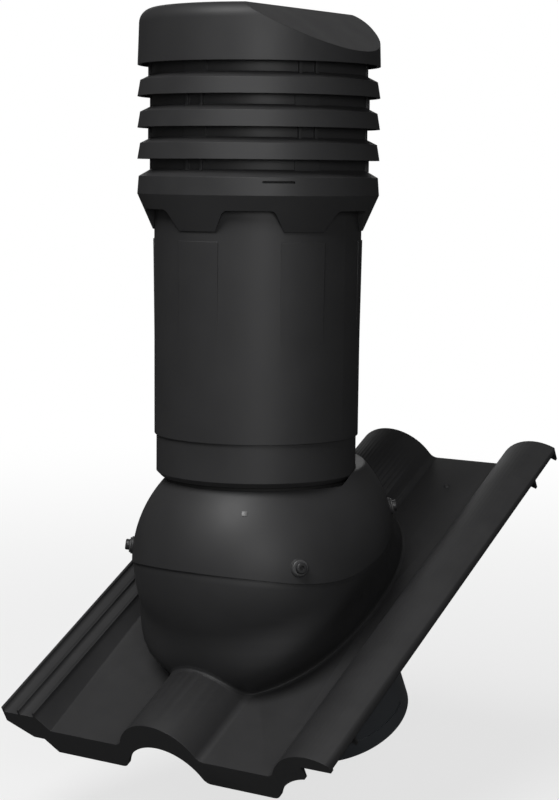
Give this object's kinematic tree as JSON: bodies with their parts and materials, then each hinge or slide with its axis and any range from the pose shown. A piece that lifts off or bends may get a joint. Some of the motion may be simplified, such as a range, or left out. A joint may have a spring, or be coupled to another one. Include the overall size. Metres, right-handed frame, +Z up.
{
  "type": "roof tile vent",
  "caption": "Roof tile with two rolls that carries a domed base, an insulated vertical vent pipe and a louvred head under a slanted cap.",
  "frame": {"origin": "where the pipe's upright axis crosses the tile's pan plane", "axes": "+Z straight up along the pipe, +X along the eaves, +Y up the roof slope; the tile is tilted 29 degrees about X"},
  "size_m": [0.33, 0.3873, 0.6522],
  "materials": {
    "black_plastic": "moulded matte black",
    "grey_plastic": "smooth grey",
    "blue_grey_plastic": "drawn, fine lines along it",
    "foam": "closed-cell foam",
    "seal_rubber": "soft rubber",
    "pale_plastic": "clear-grey insert",
    "screw_black": "black coated steel"
  },
  "bodies": {
    "root": {"cap": "black_plastic", "louvre_ring_1": "black_plastic", "louvre_ring_2": "black_plastic", "louvre_ring_3": "black_plastic", "head_base": "black_plastic", "casing_pipe": "black_plastic", "inner_duct": "grey_plastic", "insulation_sleeve": "foam", "closure_ring": "grey_plastic", "lock_collar": "black_plastic", "collar_gasket": "seal_rubber", "dome_upper": "black_plastic", "level_window": "pale_plastic", "base_tile": "black_plastic", "duct_spigot": "blue_grey_plastic", "spigot_gasket": "seal_rubber", "dome_screw_1": "screw_black", "dome_screw_2": "screw_black", "dome_screw_3": "screw_black", "dome_screw_4": "screw_black", "screw_washer_1": "seal_rubber", "screw_washer_2": "seal_rubber", "screw_washer_3": "seal_rubber", "screw_washer_4": "seal_rubber"}
  },
  "joints": []
}
